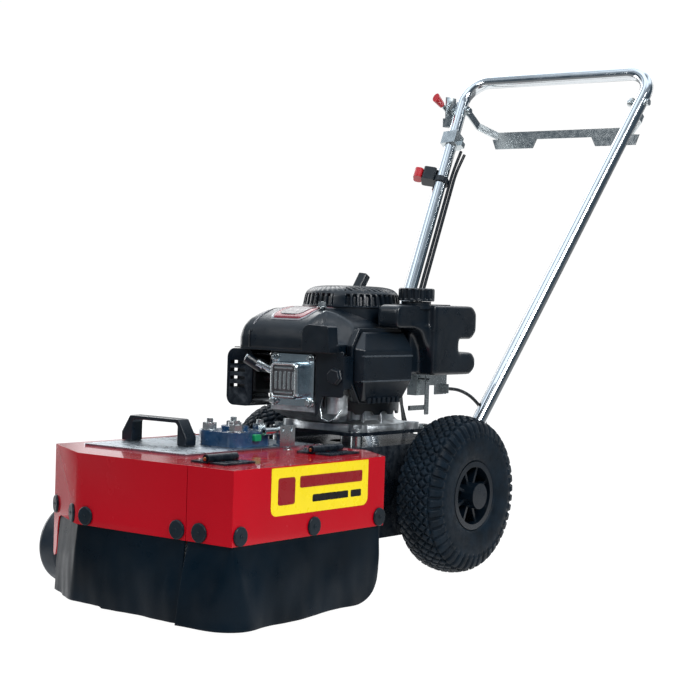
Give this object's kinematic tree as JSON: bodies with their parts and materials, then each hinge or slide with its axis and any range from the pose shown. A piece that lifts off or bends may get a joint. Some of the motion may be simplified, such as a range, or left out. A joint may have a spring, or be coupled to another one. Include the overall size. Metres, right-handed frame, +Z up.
{
  "type": "walk-behind brush mower",
  "caption": "Walk-behind brush machine: covered rotary weed brush with rubber skirts, vertical-shaft engine, axle frame with two wheels, and a U-shaped push handle.",
  "frame": {"origin": "centre of the bounding box at ground level", "axes": "+Z up; -Y towards the brush at the front, +Y towards the operator; +X to the machine's side flap"},
  "size_m": [0.537, 1.3085, 0.9045],
  "materials": {
    "red_paint": "gloss powder coat",
    "black_paint": "gloss powder coat",
    "galvanised": "galvanised sheet",
    "zinc": "bright zinc plate",
    "bright_tube": "bright zinc-plated tube",
    "bearing_blue": "gloss enamel on cast iron",
    "steel": "machined steel",
    "pulley_iron": "turned cast iron",
    "belt_rubber": "matte",
    "skirt_rubber": "matte to satin",
    "button_rubber": "satin",
    "brush_wire": "crimped steel wire",
    "tyre_rubber": "matte",
    "support_rubber": "satin",
    "black_plastic": "fine-grained",
    "red_plastic": "gloss",
    "cast_aluminium": "as cast",
    "pressed_cover": "bluish zinc plate",
    "muffler_steel": "heat-dulled",
    "cable_black": "satin plastic sheath"
  },
  "bodies": {
    "chassis": {"hood_shell": "red_paint", "frame_body": "black_paint", "belt_cover": "black_paint", "engine_plate": "black_paint", "muffler_guard": "black_paint", "hinge_fixed_leaves": "black_paint", "head_plate": "galvanised", "head_bracket": "zinc", "head_fasteners": "zinc", "throttle_bracket": "zinc", "control_bracket": "zinc", "frame_bolts": "zinc", "engine_fasteners": "zinc", "support_axle": "zinc", "handle_tube": "bright_tube", "spindle_bearings": "bearing_blue", "axle": "steel", "drive_belt": "belt_rubber", "main_skirt": "skirt_rubber", "skirt_buttons": "button_rubber", "wheel_bushes": "black_plastic", "grab_handle": "black_plastic", "engine_cowl": "black_plastic", "recoil_dome": "black_plastic", "air_filter_base": "black_plastic", "air_filter_cover": "black_plastic", "fuel_tank": "black_plastic", "stop_switch": "black_plastic", "spark_plug_boot": "black_plastic", "crankcase": "cast_aluminium", "cylinder_block": "cast_aluminium", "carburettor": "cast_aluminium", "valve_cover": "pressed_cover", "muffler": "muffler_steel", "control_cables": "cable_black"},
    "left_wheel": {"left_tyre": "tyre_rubber", "left_rim": "black_plastic"},
    "right_wheel": {"right_tyre": "tyre_rubber", "right_rim": "black_plastic"},
    "support_roller": {"support_wheel": "support_rubber"},
    "crank": {"crankshaft": "steel", "drive_pulley": "pulley_iron", "flywheel_fan": "cast_aluminium"},
    "brush": {"spindle": "steel", "driven_pulley": "pulley_iron", "brush_disc": "galvanised", "brush_tufts": "brush_wire"},
    "flap": {"side_flap": "red_paint", "hinge_moving_leaves": "black_paint", "flap_skirt": "skirt_rubber", "flap_buttons": "button_rubber"},
    "bail": {"dead_man_bail": "zinc"},
    "belt_tensioner": {"tension_arm": "zinc"},
    "idler": {"tension_idler": "pulley_iron"},
    "throttle": {"throttle_lever": "zinc", "throttle_grip": "red_plastic"},
    "governor": {"governor_arm": "zinc"},
    "stop_control": {"stop_knob": "red_plastic"},
    "starter": {"starter_grip": "black_plastic"},
    "filler_cap": {"fuel_cap": "black_plastic"}
  },
  "joints": [
    {"name": "left_wheel_spin", "type": "hinge", "parent": "chassis", "child": "left_wheel", "pos_m": [0.1555, 0.0288, 0.13], "axis": [1, 0, 0], "continuous": true},
    {"name": "right_wheel_spin", "type": "hinge", "parent": "chassis", "child": "right_wheel", "pos_m": [-0.2125, 0.0288, 0.13], "axis": [1, 0, 0], "continuous": true},
    {"name": "support_wheel_spin", "type": "hinge", "parent": "chassis", "child": "support_roller", "pos_m": [-0.1865, -0.4942, 0.06], "axis": [1, 0, 0], "continuous": true},
    {"name": "crank_spin", "type": "hinge", "parent": "chassis", "child": "crank", "pos_m": [-0.0285, -0.0292, 0.17], "axis": [0, 0, 1], "continuous": true},
    {"name": "brush_spin", "type": "hinge", "parent": "chassis", "child": "brush", "pos_m": [0.0285, -0.3812, 0.17], "axis": [0, 0, 1], "continuous": true},
    {"name": "flap_hinge", "type": "hinge", "parent": "chassis", "child": "flap", "pos_m": [0.1715, -0.4512, 0.2256], "axis": [0, -1, 0], "range_deg": [0, 110]},
    {"name": "bail_pivot", "type": "hinge", "parent": "chassis", "child": "bail", "pos_m": [-0.0285, 0.5798, 0.831], "axis": [1, 0, 0], "range_deg": [0, 68]},
    {"name": "belt_tensioner_pivot", "type": "hinge", "parent": "chassis", "child": "belt_tensioner", "pos_m": [-0.092, -0.0912, 0.18], "axis": [0, 0, 1], "range_deg": [0, 16]},
    {"name": "idler_spin", "type": "hinge", "parent": "belt_tensioner", "child": "idler", "pos_m": [-0.092, -0.1612, 0.17], "axis": [0, 0, 1], "continuous": true},
    {"name": "throttle_pivot", "type": "hinge", "parent": "chassis", "child": "throttle", "pos_m": [-0.2595, 0.5888, 0.824], "axis": [1, 0, 0], "range_deg": [-9, 30]},
    {"name": "governor_pivot", "type": "hinge", "parent": "chassis", "child": "governor", "pos_m": [0.0755, 0.0528, 0.312], "axis": [1, 0, 0], "range_deg": [-4, 10]},
    {"name": "stop_knob_turn", "type": "hinge", "parent": "chassis", "child": "stop_control", "pos_m": [-0.24664, 0.47126, 0.6941], "axis": [-0.891, -0.4319, 0.1396], "range_deg": [0, 90]},
    {"name": "starter_pull", "type": "slide", "parent": "chassis", "child": "starter", "axis": [0.1, 0.5001, 0.8602], "range_m": [0, 0.45]},
    {"name": "fuel_cap_turn", "type": "hinge", "parent": "chassis", "child": "filler_cap", "pos_m": [0.0845, -0.0012, 0.458], "axis": [0, 0, 1], "range_deg": [0, 90]}
  ],
  "couplings": [
    {"joint": "brush_spin", "follows": "crank_spin", "ratio": 0.43103},
    {"joint": "belt_tensioner_pivot", "follows": "bail_pivot", "ratio": 0.2352},
    {"joint": "governor_pivot", "follows": "throttle_pivot", "ratio": 0.3}
  ]
}
